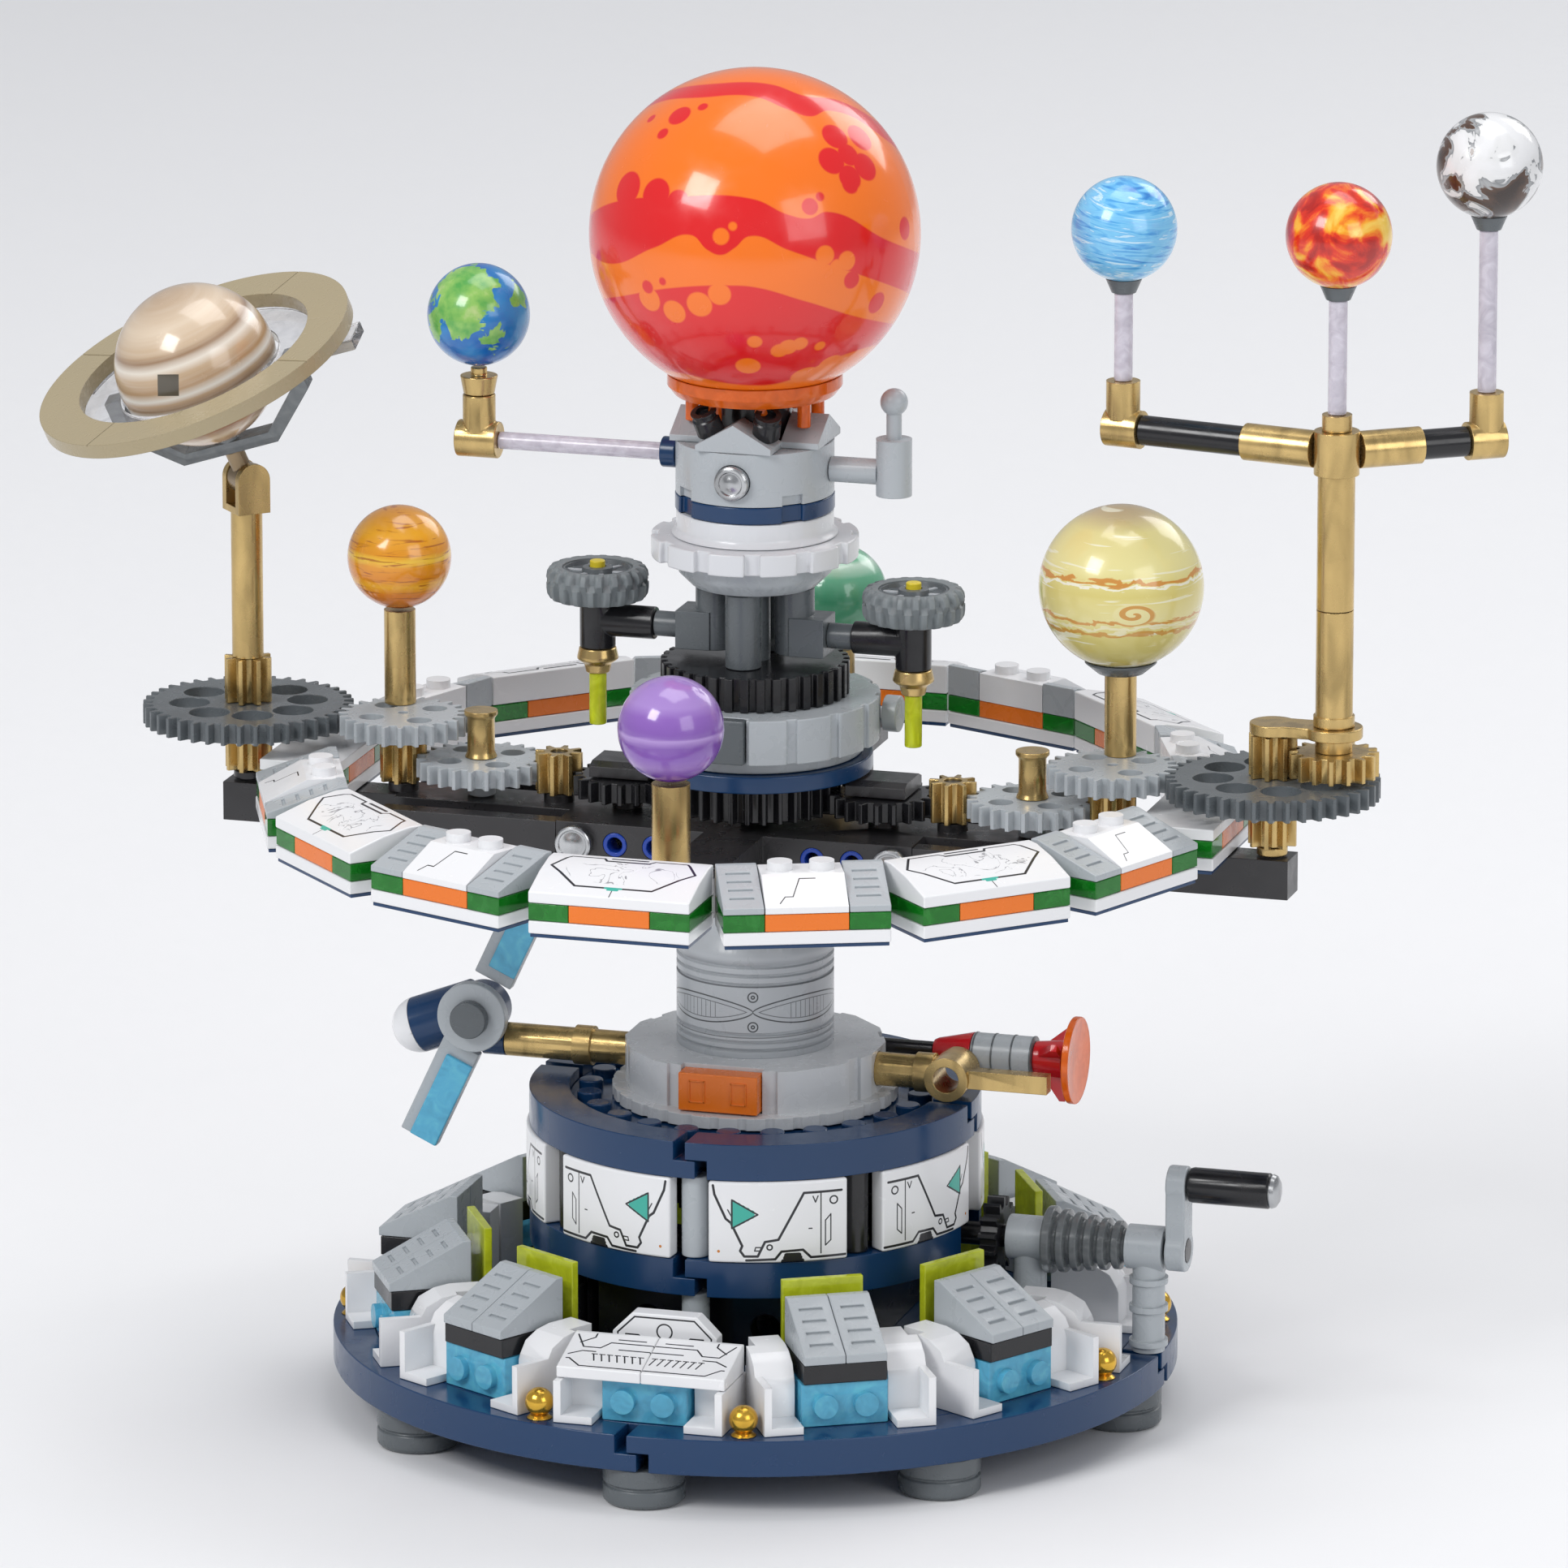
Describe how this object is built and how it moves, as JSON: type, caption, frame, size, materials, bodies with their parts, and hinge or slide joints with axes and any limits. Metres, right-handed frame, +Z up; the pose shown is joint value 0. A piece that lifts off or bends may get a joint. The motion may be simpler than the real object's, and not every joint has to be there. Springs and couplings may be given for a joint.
{
  "type": "orrery",
  "caption": "Hand-cranked brick-built orrery: round base, drum and sleeve carry a ring of gear trains with planets round a big sun.",
  "frame": {"origin": "on the main axis at the surface the feet stand on", "axes": "+Z up along the main axis, -Y towards the nameplate, +X towards the crank"},
  "size_m": [0.2949, 0.1928, 0.265],
  "materials": {
    "dark_grey": "moulded, satin gloss",
    "dark_blue": "moulded, gloss",
    "white": "moulded, gloss, with printed lines",
    "clear_blue": "transparent tinted",
    "light_grey": "moulded, satin gloss",
    "clear_lime": "transparent tinted",
    "gold": "pearl gold",
    "black": "moulded, gloss",
    "clear_green": "transparent tinted",
    "orange": "moulded, gloss",
    "red": "moulded, gloss",
    "tyre": "soft rubber, matt",
    "tan": "moulded, satin gloss",
    "sun": "gloss, printed",
    "planet_blue": "gloss, printed",
    "planet_red": "gloss, printed",
    "planet_grey": "gloss, printed",
    "planet_purple": "gloss, printed",
    "planet_green": "gloss, printed",
    "planet_earth": "gloss, printed",
    "planet_orange": "gloss, printed",
    "planet_yellow": "gloss, printed",
    "planet_tan": "gloss, printed"
  },
  "bodies": {
    "base": {"feet": "dark_grey", "base_disc": "dark_blue", "wall_brackets": "white", "window_bricks": "clear_blue", "vent_slopes": "light_grey", "lime_panels": "clear_lime", "gold_balls": "gold", "nameplate": "white", "gearbox_frame": "black", "drum_rings": "dark_blue", "drum_panels": "white", "crank_supports": "light_grey"},
    "crank": {"crank_axle": "black", "crank_arm": "light_grey"},
    "grip": {"crank_grip": "black"},
    "carrier": {"drive_tube": "black", "waist": "light_grey", "ridged_sleeve": "light_grey", "beams": "black", "beam_fittings": "dark_grey", "gold_arms": "gold", "ring_plates": "white", "ring_lights": "clear_green", "ring_orange": "orange", "ring_panels": "white", "ring_slopes": "white"},
    "station": {"station_body": "dark_blue", "station_panels": "clear_blue"},
    "rocket": {"rocket": "red"},
    "column": {"sun_shaft": "dark_grey", "sun_gear": "black", "column_housing": "light_grey", "wheel_arms": "black", "column_flange": "white", "column_head": "light_grey", "sun_globe": "sun", "earth_arm": "gold"},
    "wheel_left": {"wheel_left": "tyre"},
    "wheel_right": {"wheel_right": "tyre"},
    "idler_left": {"idler_left": "black"},
    "idler_right": {"idler_right": "black"},
    "small_left": {"small_gear_left": "gold"},
    "small_right": {"small_gear_right": "gold"},
    "mid_left": {"mid_gear_left": "light_grey"},
    "mid_right": {"mid_gear_right": "light_grey"},
    "planet_gear_left": {"planet_gear_left": "light_grey"},
    "planet_gear_right": {"planet_gear_right": "light_grey"},
    "outer_left": {"outer_gear_left": "dark_grey"},
    "outer_right": {"outer_gear_right": "dark_grey"},
    "holder": {"planet_holder": "gold"},
    "blue_planet": {"blue_planet": "planet_blue"},
    "red_planet": {"red_planet": "planet_red"},
    "grey_planet": {"grey_planet": "planet_grey"},
    "purple_planet": {"purple_planet": "planet_purple"},
    "green_planet": {"green_planet": "planet_green"},
    "earth": {"earth": "planet_earth"},
    "orange_planet": {"orange_planet": "planet_orange"},
    "jupiter": {"jupiter": "planet_yellow"},
    "saturn_frame": {"saturn_ring": "tan"},
    "saturn_globe": {"saturn_globe": "planet_tan"}
  },
  "joints": [
    {"name": "carrier_spin", "type": "hinge", "parent": "base", "child": "carrier", "pos_m": [0, 0, 0.061], "axis": [0, 0, 1], "continuous": true},
    {"name": "column_spin", "type": "hinge", "parent": "base", "child": "column", "pos_m": [0, 0, 0.119], "axis": [0, 0, 1], "continuous": true},
    {"name": "crank_turn", "type": "hinge", "parent": "base", "child": "crank", "pos_m": [0.084, 0, 0.036], "axis": [1, 0, 0], "continuous": true},
    {"name": "grip_spin", "type": "hinge", "parent": "crank", "child": "grip", "pos_m": [0.096, 0, 0.0494], "axis": [1, 0, 0], "continuous": true},
    {"name": "idler_left_spin", "type": "hinge", "parent": "carrier", "child": "idler_left", "pos_m": [-0.026, 0, 0.121], "axis": [0, 0, 1], "continuous": true},
    {"name": "idler_right_spin", "type": "hinge", "parent": "carrier", "child": "idler_right", "pos_m": [0.026, 0, 0.121], "axis": [0, 0, 1], "continuous": true},
    {"name": "small_left_spin", "type": "hinge", "parent": "carrier", "child": "small_left", "pos_m": [-0.04, 0, 0.123], "axis": [0, 0, 1], "continuous": true},
    {"name": "small_right_spin", "type": "hinge", "parent": "carrier", "child": "small_right", "pos_m": [0.04, 0, 0.123], "axis": [0, 0, 1], "continuous": true},
    {"name": "mid_left_spin", "type": "hinge", "parent": "carrier", "child": "mid_left", "pos_m": [-0.056, 0, 0.122], "axis": [0, 0, 1], "continuous": true},
    {"name": "mid_right_spin", "type": "hinge", "parent": "carrier", "child": "mid_right", "pos_m": [0.056, 0, 0.122], "axis": [0, 0, 1], "continuous": true},
    {"name": "planet_gear_left_spin", "type": "hinge", "parent": "carrier", "child": "planet_gear_left", "pos_m": [-0.072, 0, 0.13], "axis": [0, 0, 1], "continuous": true},
    {"name": "planet_gear_right_spin", "type": "hinge", "parent": "carrier", "child": "planet_gear_right", "pos_m": [0.072, 0, 0.13], "axis": [0, 0, 1], "continuous": true},
    {"name": "outer_left_spin", "type": "hinge", "parent": "carrier", "child": "outer_left", "pos_m": [-0.104, 0, 0.13], "axis": [0, 0, 1], "continuous": true},
    {"name": "outer_right_spin", "type": "hinge", "parent": "carrier", "child": "outer_right", "pos_m": [0.104, 0, 0.13], "axis": [0, 0, 1], "continuous": true},
    {"name": "holder_spin", "type": "hinge", "parent": "carrier", "child": "holder", "pos_m": [0.116, 0, 0.136], "axis": [0, 0, 1], "continuous": true},
    {"name": "blue_spin", "type": "hinge", "parent": "holder", "child": "blue_planet", "pos_m": [0.07164, 0.00758, 0.2367], "axis": [0, 0, 1], "continuous": true},
    {"name": "red_spin", "type": "hinge", "parent": "holder", "child": "red_planet", "pos_m": [0.116, 0, 0.2397], "axis": [0, 0, 1], "continuous": true},
    {"name": "grey_spin", "type": "hinge", "parent": "holder", "child": "grey_planet", "pos_m": [0.14099, 0.01783, 0.2512], "axis": [0, 0, 1], "continuous": true},
    {"name": "purple_spin", "type": "hinge", "parent": "carrier", "child": "purple_planet", "pos_m": [0, -0.056, 0.148], "axis": [0, 0, 1], "continuous": true},
    {"name": "green_spin", "type": "hinge", "parent": "carrier", "child": "green_planet", "pos_m": [0, 0.056, 0.148], "axis": [0, 0, 1], "continuous": true},
    {"name": "earth_spin", "type": "hinge", "parent": "column", "child": "earth", "pos_m": [-0.056, 0, 0.213], "axis": [0, 0, 1], "continuous": true},
    {"name": "orange_spin", "type": "hinge", "parent": "planet_gear_left", "child": "orange_planet", "pos_m": [-0.075, 0.0074, 0.162], "axis": [0, 0, 1], "continuous": true},
    {"name": "jupiter_spin", "type": "hinge", "parent": "planet_gear_right", "child": "jupiter", "pos_m": [0.0714, 0.008, 0.166], "axis": [0, 0, 1], "continuous": true},
    {"name": "saturn_tilt", "type": "hinge", "parent": "outer_left", "child": "saturn_frame", "pos_m": [-0.104, 0, 0.1776], "axis": [0.6871, -0.7266, 0], "range_deg": [-24, 12]},
    {"name": "saturn_spin", "type": "hinge", "parent": "saturn_frame", "child": "saturn_globe", "pos_m": [-0.11162, -0.0072, 0.20139], "axis": [-0.293, -0.277, 0.9151], "continuous": true},
    {"name": "wheel_left_spin", "type": "hinge", "parent": "column", "child": "wheel_left", "pos_m": [-0.032, 0, 0.162], "axis": [0, 0, 1], "continuous": true},
    {"name": "wheel_right_spin", "type": "hinge", "parent": "column", "child": "wheel_right", "pos_m": [0.032, 0, 0.162], "axis": [0, 0, 1], "continuous": true},
    {"name": "station_roll", "type": "hinge", "parent": "carrier", "child": "station", "pos_m": [-0.0507, 0, 0.0678], "axis": [1, 0, 0], "range_deg": [-35, 35]},
    {"name": "rocket_roll", "type": "hinge", "parent": "carrier", "child": "rocket", "pos_m": [0.034, 0.009, 0.07], "axis": [1, 0, 0], "continuous": true}
  ],
  "couplings": [
    {"joint": "column_spin", "follows": "carrier_spin", "ratio": -1},
    {"joint": "crank_turn", "follows": "carrier_spin", "ratio": -3},
    {"joint": "idler_left_spin", "follows": "carrier_spin", "ratio": 3.2},
    {"joint": "small_left_spin", "follows": "carrier_spin", "ratio": -8},
    {"joint": "mid_left_spin", "follows": "carrier_spin", "ratio": 2.6667},
    {"joint": "planet_gear_left_spin", "follows": "carrier_spin", "ratio": -8},
    {"joint": "outer_left_spin", "follows": "carrier_spin", "ratio": 4.8},
    {"joint": "idler_right_spin", "follows": "carrier_spin", "ratio": 3.2},
    {"joint": "small_right_spin", "follows": "carrier_spin", "ratio": -8},
    {"joint": "mid_right_spin", "follows": "carrier_spin", "ratio": 2.6667},
    {"joint": "planet_gear_right_spin", "follows": "carrier_spin", "ratio": -8},
    {"joint": "outer_right_spin", "follows": "carrier_spin", "ratio": 4.8},
    {"joint": "holder_spin", "follows": "carrier_spin", "ratio": -2.4}
  ]
}
